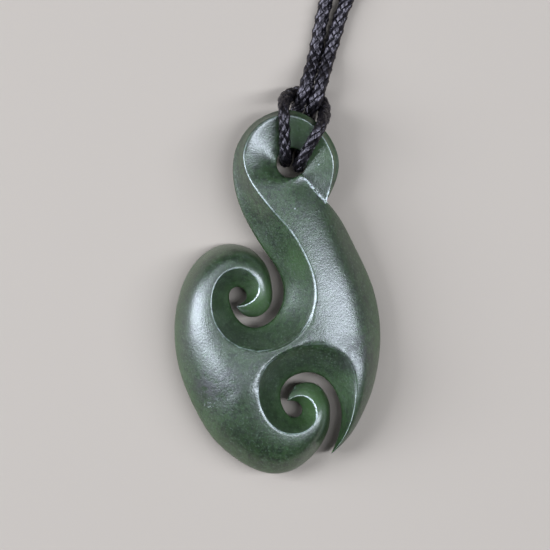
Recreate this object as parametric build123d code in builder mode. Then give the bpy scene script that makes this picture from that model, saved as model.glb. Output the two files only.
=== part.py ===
from build123d import *
import math
import os

import numpy as np

# Koru pendant of carved greenstone on a black braided neck cord, in millimetres.
# It lies face up on a surface at z = 0. The origin is on the pendant's flat back, below the saddle
# between its two spirals. +Y runs from the foot to the hanging loop and +Z leaves the carved face.

# Pendant, driving sizes
pendant_length = 52.0
pendant_width = 29.5
arris_height = 8.2  # highest carved ridge above the flat back
origin_along = -0.175  # share of the length, from the middle, where the origin lies
back_round = 1.1  # how far the back border is rounded over
loop_lift = 2.35  # the back of the loop is dressed away by this, which lets the cord pass under it
lift_start = 0.115  # share of the length, from the middle, where that relief begins
lift_end = 0.285  # and where it has its whole depth

# Cord, driving sizes
cord_diameter = 1.8
floor_gap = 0.05  # between the cord and the surface
hole_play = 0.34  # room left round the two cord passes in the hole
knot_turns = 5
knot_diameter = 4.8
knot_groove = 0.45  # depth of the furrow between two turns
knot_gap = 0.2  # between a cord end and the knot

# Fineness of the carved face
stations_per_row = 3  # sections worked out from one row of a table to the next
flute_steps = 4  # facets across a hollow flute
limb_steps = 6  # facets across a rounded limb and across the dish of the loop
saddle_steps = 3  # facets across the band between the two spirals

# The carved face lies between sharp ridges, the arrises, and the free edges of the stone.
# In every table x is a share of pendant_width and y of pendant_length, both from the middle,
# and height is a share of arris_height. A row of an edge table says which station of the
# ridge it faces, counted in rows.

# First ridge: from the notch round the loop, down the stem and round the upper spiral
ARRIS_1 = (
    # x, y, height, crispness
    (0.237, 0.250, 0.57, 0.0),
    (0.254, 0.283, 0.58, 0.0),
    (0.268, 0.318, 0.60, 0.5),
    (0.271, 0.354, 0.63, 1.0),
    (0.254, 0.391, 0.65, 1.0),
    (0.205, 0.437, 0.67, 1.0),
    (0.138, 0.471, 0.69, 1.0),
    (0.061, 0.484, 0.71, 1.0),
    (-0.026, 0.479, 0.74, 1.0),
    (-0.101, 0.452, 0.78, 1.0),
    (-0.149, 0.414, 0.82, 1.0),
    (-0.163, 0.365, 0.86, 1.0),
    (-0.135, 0.311, 0.90, 1.0),
    (-0.077, 0.262, 0.94, 1.0),
    (-0.007, 0.214, 0.97, 1.0),
    (0.066, 0.168, 0.99, 1.0),
    (0.128, 0.109, 1.00, 1.0),
    (0.174, 0.045, 1.00, 1.0),
    (0.184, -0.021, 1.00, 1.0),
    (0.143, -0.089, 1.00, 1.0),
    (0.041, -0.144, 0.99, 1.0),
    (-0.091, -0.160, 0.98, 1.0),
    (-0.219, -0.137, 0.96, 1.0),
    (-0.296, -0.088, 0.93, 1.0),
    (-0.319, -0.029, 0.90, 1.0),
    (-0.303, 0.019, 0.87, 1.0),
    (-0.257, 0.054, 0.84, 1.0),
    (-0.180, 0.067, 0.80, 1.0),
    (-0.113, 0.048, 0.76, 1.0),
    (-0.084, 0.013, 0.72, 1.0),
    (-0.103, -0.015, 0.68, 1.0),
    (-0.142, -0.032, 0.64, 1.0),
    (-0.198, -0.039, 0.58, 1.0),
)

# Free edge that faces the first ridge: loop, stem, upper slot and upper eye
EDGE_1 = (
    # station, x, y, height
    (0, 0.237, 0.250, 0.57),
    (1, 0.268, 0.285, 0.52),
    (2, 0.292, 0.324, 0.52),
    (3, 0.297, 0.362, 0.53),
    (4, 0.278, 0.400, 0.54),
    (5, 0.230, 0.444, 0.55),
    (6, 0.152, 0.482, 0.56),
    (7, 0.063, 0.500, 0.57),
    (8, -0.036, 0.492, 0.57),
    (9, -0.125, 0.462, 0.56),
    (10, -0.185, 0.417, 0.55),
    (11, -0.214, 0.362, 0.54),
    (12, -0.209, 0.292, 0.52),
    (13, -0.173, 0.223, 0.50),
    (14, -0.115, 0.161, 0.48),
    (15, -0.057, 0.110, 0.47),
    (16, -0.009, 0.072, 0.46),
    (17, 0.025, 0.028, 0.46),
    (18, 0.029, -0.015, 0.46),
    (19, 0.000, -0.059, 0.46),
    (20, -0.055, -0.089, 0.46),
    (21, -0.125, -0.097, 0.46),
    (22, -0.183, -0.080, 0.45),
    (23, -0.219, -0.049, 0.45),
    (24, -0.233, -0.021, 0.44),
    (25, -0.231, 0.000, 0.44),
    (26, -0.210, 0.013, 0.43),
    (27, -0.180, 0.014, 0.42),
    (28, -0.157, 0.004, 0.42),
    (29, -0.149, -0.010, 0.42),
    (30, -0.161, -0.024, 0.43),
    (31, -0.180, -0.031, 0.46),
    (32, -0.198, -0.039, 0.58),
)

# Second ridge: from the lower tip round the lower spiral and down the tail
ARRIS_2 = (
    # x, y, height, crispness
    (0.048, -0.298, 0.56, 1.0),
    (0.092, -0.284, 0.62, 1.0),
    (0.150, -0.287, 0.68, 1.0),
    (0.186, -0.313, 0.73, 1.0),
    (0.188, -0.349, 0.78, 1.0),
    (0.138, -0.379, 0.82, 1.0),
    (0.066, -0.387, 0.86, 1.0),
    (-0.012, -0.370, 0.90, 1.0),
    (-0.065, -0.332, 0.94, 1.0),
    (-0.090, -0.290, 0.97, 1.0),
    (-0.087, -0.245, 0.99, 0.8),
    (-0.050, -0.198, 1.00, 0.2),
    (0.027, -0.164, 1.00, 0.0),
    (0.128, -0.144, 1.00, 0.0),
    (0.234, -0.144, 0.99, 0.0),
    (0.326, -0.172, 0.95, 0.0),
    (0.374, -0.223, 0.90, 0.0),
    (0.380, -0.280, 0.84, 0.3),
    (0.360, -0.345, 0.75, 1.0),
    (0.321, -0.398, 0.65, 1.0),
    (0.260, -0.445, 0.50, 1.0),
)

# Free edge that faces the second ridge: lower eye, lower slot and the tail's inner side
EDGE_2 = (
    # station, x, y, height
    (0, 0.048, -0.298, 0.56),
    (1, 0.075, -0.298, 0.46),
    (2, 0.104, -0.304, 0.43),
    (3, 0.120, -0.319, 0.42),
    (4, 0.114, -0.335, 0.42),
    (5, 0.092, -0.343, 0.42),
    (6, 0.063, -0.341, 0.43),
    (7, 0.038, -0.328, 0.44),
    (8, 0.020, -0.306, 0.45),
    (9, 0.013, -0.283, 0.46),
    (10, 0.024, -0.260, 0.46),
    (11, 0.056, -0.237, 0.46),
    (12, 0.107, -0.223, 0.46),
    (13, 0.167, -0.220, 0.46),
    (14, 0.225, -0.234, 0.46),
    (15, 0.273, -0.263, 0.46),
    (16, 0.302, -0.300, 0.46),
    (17, 0.311, -0.338, 0.46),
    (18, 0.302, -0.376, 0.46),
    (19, 0.285, -0.409, 0.46),
    (20, 0.260, -0.445, 0.50),
)

# Outline from the upper tip over the upper head, down the left side, to the lower tip.
# Its stations count the ridge rows it faces: the upper spiral, the saddle, the lower spiral.
LEFT_EDGE = (
    # station, x, y, height
    (0.00, -0.198, -0.039, 0.58),
    (0.50, -0.180, -0.055, 0.50),
    (1.15, -0.147, -0.067, 0.47),
    (1.85, -0.089, -0.066, 0.47),
    (2.60, -0.036, -0.040, 0.47),
    (3.15, -0.016, -0.007, 0.47),
    (3.65, -0.024, 0.035, 0.47),
    (4.35, -0.057, 0.080, 0.46),
    (4.95, -0.118, 0.117, 0.45),
    (5.60, -0.200, 0.134, 0.44),
    (6.25, -0.291, 0.129, 0.43),
    (6.75, -0.371, 0.101, 0.42),
    (7.35, -0.436, 0.053, 0.41),
    (8.00, -0.477, -0.004, 0.40),
    (8.65, -0.498, -0.070, 0.40),
    (9.25, -0.499, -0.136, 0.40),
    (9.95, -0.477, -0.209, 0.40),
    (10.85, -0.431, -0.282, 0.40),
    (11.90, -0.383, -0.338, 0.40),
    (13.80, -0.318, -0.397, 0.40),
    (15.00, -0.238, -0.442, 0.40),
    (15.95, -0.147, -0.477, 0.40),
    (16.80, -0.021, -0.500, 0.40),
    (17.65, 0.099, -0.484, 0.41),
    (18.40, 0.191, -0.440, 0.43),
    (19.00, 0.246, -0.387, 0.45),
    (19.70, 0.263, -0.332, 0.46),
    (20.60, 0.242, -0.283, 0.46),
    (21.40, 0.184, -0.250, 0.46),
    (22.05, 0.114, -0.248, 0.47),
    (22.55, 0.066, -0.267, 0.48),
    (23.00, 0.048, -0.298, 0.56),
)

# Outline from the notch under the loop down the right side to the tail
RIGHT_EDGE = (
    # station, x, y, height
    (0.00, 0.237, 0.250, 0.70),
    (0.75, 0.304, 0.202, 0.56),
    (1.55, 0.367, 0.135, 0.46),
    (2.50, 0.437, 0.053, 0.41),
    (3.20, 0.478, -0.015, 0.40),
    (3.70, 0.498, -0.086, 0.40),
    (4.60, 0.499, -0.152, 0.40),
    (6.10, 0.485, -0.220, 0.40),
    (7.10, 0.451, -0.291, 0.41),
    (8.10, 0.396, -0.358, 0.43),
    (9.25, 0.333, -0.409, 0.46),
    (10.00, 0.260, -0.445, 0.50),
)

# Dish of the loop, by ridge row: the height of the hole's rim, how far the dish swells and how
# steep it is at its border. Past the hole the rows follow the step, where the stem lies over the arm.
HOLE_CENTRE = (0.068, 0.355)
HOLE_RIM = (
    # station, height, swell, border
    (0.0, 0.50, 1.5, 1.00),
    (3.0, 0.50, 1.2, 1.00),
    (7.0, 0.52, 1.0, 1.00),
    (9.6, 0.58, 1.0, 1.00),
    (11.6, 0.74, 1.4, 1.10),
    (13.0, 0.86, 1.9, 1.20),
    (15.0, 0.70, 2.2, 1.45),
)
hole_twist = 2.0  # how late the ribs of the dish lean on towards the stem

# Where the limbs meet: rows of the two ridges at the end of the dish and the saddle's corners
row_dish_end = 15
row_saddle_right_1, row_saddle_left_1 = 18, 21
row_saddle_right_2, row_saddle_left_2 = 14, 11

limb_swell, limb_border = 2.2, 1.45  # roundness of the limbs, as in the last row of the dish
cove_power = 1.35  # hollowness of the flutes, 1 is flat


def natural_spline(at, values, where):
    """Cubic through values at the places in at, straight at both ends, read at where."""
    gap = np.diff(at)
    size = len(at)
    system, load = np.eye(size), np.zeros(size)
    for i in range(1, size - 1):
        system[i, i - 1 : i + 2] = gap[i - 1], 2 * (gap[i - 1] + gap[i]), gap[i]
        load[i] = 6 * ((values[i + 1] - values[i]) / gap[i] - (values[i] - values[i - 1]) / gap[i - 1])
    bend = np.linalg.solve(system, load)
    i = np.clip(np.searchsorted(at, where, side="right") - 1, 0, size - 2)
    left, right = where - at[i], at[i + 1] - where
    chord_left = values[i] / gap[i] - bend[i] * gap[i] / 6
    chord_right = values[i + 1] / gap[i] - bend[i + 1] * gap[i] / 6
    cubic = (bend[i] * right**3 + bend[i + 1] * left**3) / (6 * gap[i])
    return cubic + chord_left * right + chord_right * left


def curve(rows, stations):
    """Points at the stations of a table's smooth curve, whose columns are station, x, y, height."""
    at, x, y, height = np.array([row[:4] for row in rows], float).T
    x, y, height = x * pendant_width, (y - origin_along) * pendant_length, height * arris_height
    run = np.concatenate(([0.0], np.cumsum(np.hypot(np.diff(x), np.diff(y)))))
    where = np.interp(stations, at, run)
    return np.column_stack(
        (natural_spline(run, x, where), natural_spline(run, y, where), np.interp(where, run, height))
    )


def rise(power, border=1.0):
    """Share climbed from a free edge to its ridge: straight at 1, rounder above, level at the ridge."""
    return lambda share: (1 - (1 - share) ** power) ** (1 / border)


def cove(crispness):
    """Share climbed up a hollow flute, which meets a soft ridge with a rounded shoulder."""
    return lambda share: crispness * share**cove_power + (1 - crispness) * share**2 * (3 - 2 * share)


class Net:
    """Facets of the carved face, each corner with a place below it on the back."""

    def __init__(self):
        self.top = []
        self.below = []
        self.facets = []

    def corner(self, point, below=None):
        """Add a corner and return its number; below names a corner whose back it shares."""
        self.top.append(np.asarray(point, float))
        self.below.append(len(self.top) - 1 if below is None else below)
        return len(self.top) - 1

    def line(self, points, first=None, last=None):
        """Add a row of corners, taking over the given first and last ones."""
        numbers = [self.corner(points[0]) if first is None else first]
        numbers += [self.corner(point) for point in points[1:-1]]
        return numbers + [self.corner(points[-1]) if last is None else last]

    def rib(self, free, ridge, steps, climb):
        """Corners in a straight line on the plan, from a free edge up to a ridge."""
        if free == ridge:
            return [free] * (steps + 1)
        start, end = self.top[free], self.top[ridge]
        numbers = [free]
        for step in range(1, steps):
            point = start + (end - start) * step / steps
            point[2] = start[2] + (end[2] - start[2]) * climb(step / steps)
            numbers.append(self.corner(point))
        return numbers + [ridge]

    def fill(self, ribs):
        """Add the facets between neighbouring ribs."""
        for near, far in zip(ribs, ribs[1:]):
            for i in range(len(near) - 1):
                ring = (near[i], near[i + 1], far[i + 1], far[i])
                ring = [corner for n, corner in enumerate(ring) if corner != ring[n - 1]]
                if len(ring) > 2:
                    self.facets.append(ring)


def rows_to_stations(rows):
    return np.linspace(0, rows, rows * stations_per_row + 1)


def limb_path(ridge_in, gate, ridge_out):
    """Inner side of a limb: along one ridge, across the saddle's end, along the other ridge."""
    path = ridge_in[:-1] + gate + ridge_out[1:]
    before, across = len(ridge_in) - 1, len(gate) - 1
    knots = (0, before, before + across, len(path) - 1)
    rows = (0, before / stations_per_row, before / stations_per_row + 1)
    rows += (rows[2] + (len(ridge_out) - 1) / stations_per_row,)
    return path, np.interp(range(len(path)), knots, rows)


def dish_ribs(net, arris):
    """Ribs of the loop's dish: one turn round the hole, whose end lies over its beginning."""
    centre = np.array((HOLE_CENTRE[0] * pendant_width, (HOLE_CENTRE[1] - origin_along) * pendant_length))
    radius = cord_diameter + hole_play
    last = row_dish_end * stations_per_row
    turn_end = last - limb_steps
    at, heights, swells, borders = np.array(HOLE_RIM).T
    rows = rows_to_stations(row_dish_end)
    heights = np.interp(rows, at, heights) * arris_height
    swells, borders = np.interp(rows, at, swells), np.interp(rows, at, borders)
    aims = [net.top[corner][:2] - centre for corner in arris[: turn_end + 1]]
    angles = np.unwrap([math.atan2(y, x) for x, y in aims])
    lag = angles[0] + 2 * math.pi - angles[-1]
    angles += lag * np.linspace(0, 1, turn_end + 1) ** hole_twist
    rim = [(*(centre + radius * np.array((math.cos(a), math.sin(a)))), z) for a, z in zip(angles, heights)]
    hole = net.line(rim)
    net.below[hole[-1]] = hole[0]
    low_step = net.rib(hole[0], arris[0], limb_steps, rise(swells[0], borders[0]))
    step_heights = np.linspace(heights[turn_end], RIGHT_EDGE[0][3] * arris_height, limb_steps + 1)
    high_step = [hole[-1]]
    for low, height in zip(low_step[1:], step_heights[1:]):
        high_step.append(net.corner((*net.top[low][:2], height), below=low))
    free = hole + high_step[1:]
    ribs = [low_step]
    for k in range(1, last + 1):
        ribs.append(net.rib(free[k], arris[k], limb_steps, rise(swells[k], borders[k])))
    return ribs, hole, high_step


def carve():
    """The whole carved face, with the outline, the hole's rim and both edges of the step."""
    net = Net()
    per = stations_per_row
    stations = [rows_to_stations(len(table) - 1) for table in (ARRIS_1, ARRIS_2)]
    arris_1, arris_2 = (
        net.line(curve([(i, *row) for i, row in enumerate(table)], at))
        for table, at in zip((ARRIS_1, ARRIS_2), stations)
    )
    edge_1 = net.line(curve(EDGE_1, stations[0]), arris_1[0], arris_1[-1])
    edge_2 = net.line(curve(EDGE_2, stations[1]), arris_2[0], arris_2[-1])
    flutes = ((edge_1, arris_1, ARRIS_1, stations[0]), (edge_2, arris_2, ARRIS_2, stations[1]))
    for edge, arris, table, at in flutes:
        crisp = np.interp(at, range(len(table)), [row[3] for row in table])
        net.fill([net.rib(e, a, flute_steps, cove(c)) for e, a, c in zip(edge, arris, crisp)])

    dish, hole, high_step = dish_ribs(net, arris_1)
    net.fill(dish)

    side_1 = arris_1[row_saddle_right_1 * per : row_saddle_left_1 * per + 1]
    side_2 = arris_2[row_saddle_left_2 * per : row_saddle_right_2 * per + 1][::-1]
    saddle = [net.rib(a, b, saddle_steps, rise(1)) for a, b in zip(side_1, side_2)]
    net.fill(saddle)

    stem = arris_1[row_dish_end * per : row_saddle_right_1 * per + 1]
    path, at = limb_path(stem, saddle[0], arris_2[row_saddle_right_2 * per :])
    right = net.line(curve(RIGHT_EDGE, at), high_step[-1], arris_2[-1])
    climb = rise(limb_swell, limb_border)
    net.fill([dish[-1]] + [net.rib(e, p, limb_steps, climb) for e, p in zip(right[1:], path[1:])])

    upper, lower = arris_1[row_saddle_left_1 * per :][::-1], arris_2[: row_saddle_left_2 * per + 1][::-1]
    path, at = limb_path(upper, saddle[-1], lower)
    left = net.line(curve(LEFT_EDGE, at), arris_1[-1], arris_2[0])
    net.fill([net.rib(e, p, limb_steps, climb) for e, p in zip(left, path)])

    outline = edge_1[:-1] + left[:-1] + edge_2[:-1] + right[::-1]
    return net, outline, hole, dish[0], high_step


def distance_to(border, points):
    """Plan distance from each point to a closed border."""
    start = np.array(border)
    along = np.roll(start, -1, axis=0) - start
    offset = points[:, None] - start[None]
    share = (offset * along).sum(axis=2) / (along**2).sum(axis=1)
    offset -= np.clip(share, 0, 1)[..., None] * along
    return np.sqrt((offset**2).sum(axis=2)).min(axis=1)


def back_heights(net, borders):
    """Height of the back below each corner: flat, with a rounded border and the loop's relief."""
    plan = np.array(net.top)[:, :2]
    near = np.min([distance_to(plan[border], plan) for border in borders], axis=0)
    inside = np.clip(1 - near / back_round, 0, 1)
    border_height = back_round * (1 - np.sqrt(1 - inside**2))
    along = plan[:, 1] / pendant_length + origin_along
    share = np.clip((along - lift_start) / (lift_end - lift_start), 0, 1)
    return border_height + loop_lift * share**2 * (3 - 2 * share)


def polygon(points):
    return Face(Wire.make_polygon([tuple(point) for point in points], close=True))


def halves(points):
    """Two flat facets of a quad, cut along its shorter diagonal; a triangle stays whole."""
    if len(points) == 3:
        return [points]
    a, b, c, d = points
    if np.linalg.norm(a - c) <= np.linalg.norm(b - d):
        return [(a, b, c), (a, c, d)]
    return [(a, b, d), (b, c, d)]


def rings(facets):
    """Closed borders of a patch of facets, as lists of corner numbers."""
    sides = {(ring[i - 1], ring[i]) for ring in facets for i in range(len(ring))}
    following = {a: b for a, b in sides if (b, a) not in sides}
    found = []
    while following:
        start, corner = following.popitem()
        ring = [start]
        while corner != start:
            ring.append(corner)
            corner = following.pop(corner)
        found.append(ring)
    return found


def pendant_faces():
    """Every face of the closed stone."""
    net, outline, hole, low_step, high_step = carve()
    top = np.array(net.top)
    back = top.copy()
    back[:, 2] = back_heights(net, (outline[:-1], hole[:-1]))
    below = net.below
    faces = []
    flat = []
    for ring in net.facets:
        plan = top[ring][:, :2]
        turn = sum(plan[i - 1][0] * plan[i][1] - plan[i - 1][1] * plan[i][0] for i in range(len(ring)))
        ring = ring if turn > 0 else ring[::-1]
        faces += [polygon(half) for half in halves(list(top[ring]))]
        under = [below[corner] for corner in ring]
        if max(back[under][:, 2]) == 0:
            flat.append(under)
        else:
            faces += [polygon(half[::-1]) for half in halves(list(back[under]))]
    borders = sorted(rings(flat), key=len, reverse=True)
    wires = [Wire.make_polygon([tuple(back[c]) for c in ring], close=True) for ring in borders]
    faces.append(-Face(wires[0], wires[1:]))

    # Walls: round the outline, round the hole, and the step where the stem lies over the arm
    for a, b in zip(outline, outline[1:]):
        wall = [top[a], back[below[a]], back[below[b]], top[b]]
        if b == high_step[-1]:
            wall = [top[a], back[below[a]], back[below[b]], top[low_step[-1]], top[b]]
        faces.append(polygon(wall))
    for a, b in zip(hole, hole[1:]):
        wall = [top[b], back[below[b]], back[below[a]], top[a]]
        if b == high_step[0]:
            wall = [top[b], top[hole[0]], back[below[b]], back[below[a]], top[a]]
        faces.append(polygon(wall))
    for i in range(limb_steps):
        wall = [top[high_step[i]], top[low_step[i]], top[low_step[i + 1]], top[high_step[i + 1]]]
        faces.append(polygon(wall))
    return faces


with BuildPart() as pendant:
    add(Solid(Shell(pendant_faces())))
pendant.part.label = "pendant"

# The knot that closes the neck cord, and the route of the cord. From the knot it runs round the neck
# side, passes over the bar of the lark's head, under the loop and up through the hole. It goes over
# the loop, crosses below its own two strands as that bar, comes back over the loop and down the
# hole, and runs under the loop, over the bar and round the other side to the knot.
lie = cord_diameter / 2 + floor_gap
over_rim = ARRIS_1[7][2] * arris_height + cord_diameter / 2
hole_x = HOLE_CENTRE[0] * pendant_width
hole_y = (HOLE_CENTRE[1] - origin_along) * pendant_length
loop_end = (0.5 - origin_along) * pendant_length
knot_x, knot_y, knot_turn = hole_x + 88.1, loop_end + 241.1, -20.0
knot_height = knot_diameter / 2 + floor_gap
knot_length = knot_turns * cord_diameter
knot_reach = knot_length / 2 + knot_gap
knot_along = (math.cos(math.radians(knot_turn)), math.sin(math.radians(knot_turn)))
NECK_CORD = (
    # x, y, height
    (knot_x - knot_reach * knot_along[0], knot_y - knot_reach * knot_along[1], knot_height),
    (hole_x + 71.0, loop_end + 246.6, lie),
    (hole_x + 44.6, loop_end + 240.1, lie),
    (hole_x + 15.1, loop_end + 218.7, lie),
    (hole_x - 6.7, loop_end + 185.2, lie),
    (hole_x - 16.0, loop_end + 144.9, lie),
    (hole_x - 11.5, loop_end + 101.8, lie),
    (hole_x - 0.8, loop_end + 64.2, lie),
    (hole_x + 5.6, loop_end + 38.7, lie),
    (hole_x + 6.9, loop_end + 26.4, lie),
    (hole_x + 6.1, loop_end + 19.3, lie),
    (hole_x + 4.65, loop_end + 14.6, lie),
    (hole_x + 3.9, loop_end + 10.9, lie),
    (hole_x + 3.35, loop_end + 8.3, lie + 0.05),
    (hole_x + 2.8, loop_end + 6.2, lie + 0.95),
    (hole_x + 2.3, loop_end + 4.5, lie + 1.95),
    (hole_x + 1.9, loop_end + 2.9, lie + 2.15),
    (hole_x + 1.35, loop_end + 1.4, lie + 1.9),
    (hole_x + 0.7, loop_end + 0.2, lie + 0.95),
    (hole_x + 0.35, loop_end - 1.0, lie + 0.15),
    (hole_x - 0.1, hole_y + 4.3, lie),
    (hole_x - 0.9, hole_y + 0.3, lie),
    (hole_x - 0.9, hole_y + 0.3, over_rim - 1.65),
    (hole_x - 1.0, loop_end - 3.6, over_rim - 0.3),
    (hole_x - 1.05, loop_end - 0.7, over_rim + 0.65),
    (hole_x - 1.1, loop_end + 1.0, over_rim - 1.3),
    (hole_x - 0.8, loop_end + 1.85, lie + 2.25),
    (hole_x + 0.05, loop_end + 2.4, lie + 0.4),
    (hole_x + 1.4, loop_end + 2.65, lie),
    (hole_x + 2.8, loop_end + 2.4, lie),
    (hole_x + 3.8, loop_end + 1.9, lie),
    (hole_x + 4.5, loop_end + 1.0, lie + 0.1),
    (hole_x + 4.75, loop_end - 0.1, lie + 1.15),
    (hole_x + 4.65, loop_end - 0.9, lie + 2.95),
    (hole_x + 4.4, loop_end - 1.9, over_rim - 0.65),
    (hole_x + 3.7, loop_end - 3.3, over_rim + 0.25),
    (hole_x + 2.7, hole_y + 2.6, over_rim - 0.4),
    (hole_x + 1.0, hole_y - 0.5, over_rim - 1.65),
    (hole_x + 1.0, hole_y - 0.5, lie),
    (hole_x + 1.9, hole_y + 3.2, lie),
    (hole_x + 2.4, loop_end - 2.0, lie + 0.1),
    (hole_x + 2.65, loop_end - 0.4, lie + 1.05),
    (hole_x + 3.15, loop_end + 1.0, lie + 2.05),
    (hole_x + 3.85, loop_end + 2.5, lie + 2.15),
    (hole_x + 4.5, loop_end + 4.2, lie + 1.95),
    (hole_x + 5.1, loop_end + 6.0, lie + 0.95),
    (hole_x + 5.8, loop_end + 8.2, lie + 0.05),
    (hole_x + 6.4, loop_end + 10.9, lie),
    (hole_x + 7.3, loop_end + 14.6, lie),
    (hole_x + 9.6, loop_end + 18.9, lie),
    (hole_x + 13.3, loop_end + 24.3, lie),
    (hole_x + 22.3, loop_end + 32.7, lie),
    (hole_x + 43.5, loop_end + 47.1, lie),
    (hole_x + 76.1, loop_end + 67.7, lie),
    (hole_x + 107.9, loop_end + 96.6, lie),
    (hole_x + 126.6, loop_end + 133.4, lie),
    (hole_x + 130.9, loop_end + 174.4, lie),
    (hole_x + 122.6, loop_end + 210.8, lie),
    (hole_x + 104.4, loop_end + 233.6, lie),
    (knot_x + knot_reach * knot_along[0], knot_y + knot_reach * knot_along[1], knot_height),
)


def arc_radii(points):
    """Radius at each corner: as large as the shorter of its two runs allows."""
    radii = []
    for before, corner, after in zip(points, points[1:], points[2:]):
        run_in, run_out = Vector(*corner) - Vector(*before), Vector(*after) - Vector(*corner)
        half_turn = math.radians(run_in.get_angle(run_out)) / 2
        radii.append(0.45 * min(run_in.length, run_out.length) / math.tan(half_turn))
    return radii


cord_radii = arc_radii(NECK_CORD)
print("arc radii of the neck cord", [round(radius, 1) for radius in cord_radii])
with BuildPart() as neck_cord:
    with BuildLine() as route:
        FilletPolyline(*NECK_CORD, radius=cord_radii)
    with BuildSketch(Plane(origin=route.line @ 0, z_dir=route.line % 0)):
        Circle(cord_diameter / 2)
    sweep(path=route.line)
neck_cord.part.label = "neck_cord"
cord_length = sum(edge.length for edge in route.line.edges())
cord_section = math.pi * cord_diameter**2 / 4
print("neck cord length", round(cord_length, 1))
print("volume against section times length", round(neck_cord.part.volume / (cord_section * cord_length), 4))

# Closure knot: a wound barrel between the two ends of the cord
knot_plane = Plane(origin=(knot_x, knot_y, knot_height), x_dir=(*knot_along, 0), z_dir=(0, 0, 1))
with BuildPart() as closure_knot:
    with BuildSketch(knot_plane):
        with BuildLine():
            knot_end, furrow = knot_length / 2, knot_diameter / 2 - knot_groove
            Line((-knot_end, 0), (-knot_end, furrow))
            for turn in range(knot_turns):
                left = turn * cord_diameter - knot_end
                crest = (left + cord_diameter / 2, knot_diameter / 2)
                ThreePointArc((left, furrow), crest, (left + cord_diameter, furrow))
            Line((knot_end, furrow), (knot_end, 0))
            Line((knot_end, 0), (-knot_end, 0))
        make_face()
    revolve(axis=Axis(knot_plane.origin, knot_plane.x_dir))
closure_knot.part.label = "closure_knot"

os.makedirs("parts", exist_ok=True)
export_step(pendant.part, "parts/pendant.step")
export_step(neck_cord.part, "parts/neck_cord.step")
export_step(closure_knot.part, "parts/closure_knot.step")
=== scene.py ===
"""Koru pendant carved from greenstone, hitched on a closed neck cord of black waxed braid."""

import logging
import math
from dataclasses import dataclass, field
from enum import Enum
from typing import Any, ClassVar, Mapping, Sequence, Union

import bmesh
import bpy
import numpy as np
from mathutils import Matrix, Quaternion, Vector


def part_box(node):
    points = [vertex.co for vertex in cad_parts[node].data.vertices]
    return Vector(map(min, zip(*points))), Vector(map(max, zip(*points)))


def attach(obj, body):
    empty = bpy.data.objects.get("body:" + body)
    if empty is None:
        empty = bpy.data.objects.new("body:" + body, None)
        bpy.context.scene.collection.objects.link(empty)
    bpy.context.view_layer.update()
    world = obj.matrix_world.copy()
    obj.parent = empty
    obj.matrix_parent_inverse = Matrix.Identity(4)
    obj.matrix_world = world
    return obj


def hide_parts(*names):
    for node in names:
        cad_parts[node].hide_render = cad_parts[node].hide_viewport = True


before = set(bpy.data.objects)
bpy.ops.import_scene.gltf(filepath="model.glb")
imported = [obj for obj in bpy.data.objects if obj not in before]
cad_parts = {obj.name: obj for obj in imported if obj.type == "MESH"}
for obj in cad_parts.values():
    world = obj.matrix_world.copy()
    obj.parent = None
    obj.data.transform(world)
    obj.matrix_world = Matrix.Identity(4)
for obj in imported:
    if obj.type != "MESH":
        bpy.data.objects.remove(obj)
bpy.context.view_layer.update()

MM = 0.001
BODY = "root"
log = logging.getLogger("koru_pendant")

Colour = tuple[float, float, float]
Place = tuple[float, float, float]


class Slot(Enum):
    """Names of the two main materials."""

    STONE = "greenstone"
    CORD = "waxed_cord"


class Hand(Enum):
    """Which way a carrier of the braid winds round the cord."""

    RIGHT = 1
    LEFT = -1


# Shader tools


class Strength:
    """A number that varies over a surface, which Python's operators work on."""

    def __init__(self, recipe: "Recipe", socket: bpy.types.NodeSocket) -> None:
        """Keep the socket.

        Args:
            recipe: The material that the socket belongs to.
            socket: The output that carries the number or colour.
        """
        self.recipe = recipe
        self.socket = socket

    def maths(self, operation: str, *values: "Input") -> "Strength":
        """Add a Math node.

        Args:
            operation: The node's operation.
            values: Its inputs, in order.

        Returns:
            The node's result.
        """
        sockets = dict(enumerate(values))
        return self.recipe.node("ShaderNodeMath", {"operation": operation}, sockets)

    def __add__(self, other: "Input") -> "Strength":
        """Sum of the two."""
        return self.maths("ADD", self, other)

    def __radd__(self, other: "Input") -> "Strength":
        """Sum of the two."""
        return self.maths("ADD", other, self)

    def __mul__(self, other: "Input") -> "Strength":
        """Product of the two."""
        return self.maths("MULTIPLY", self, other)

    def __rmul__(self, other: "Input") -> "Strength":
        """Product of the two."""
        return self.maths("MULTIPLY", other, self)

    def most(self, other: "Input") -> "Strength":
        """The larger of the two."""
        return self.maths("MAXIMUM", self, other)


Input = Union[float, Sequence[float], Strength]


@dataclass(frozen=True)
class Grain:
    """A cloudy pattern: its layers, and the levels between which its mask rises."""

    size: float
    detail: float = 4.0
    rough: float = 0.5
    low: float = 0.0
    high: float = 1.0
    strength: float = 1.0
    bent: float = 0.0


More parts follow.
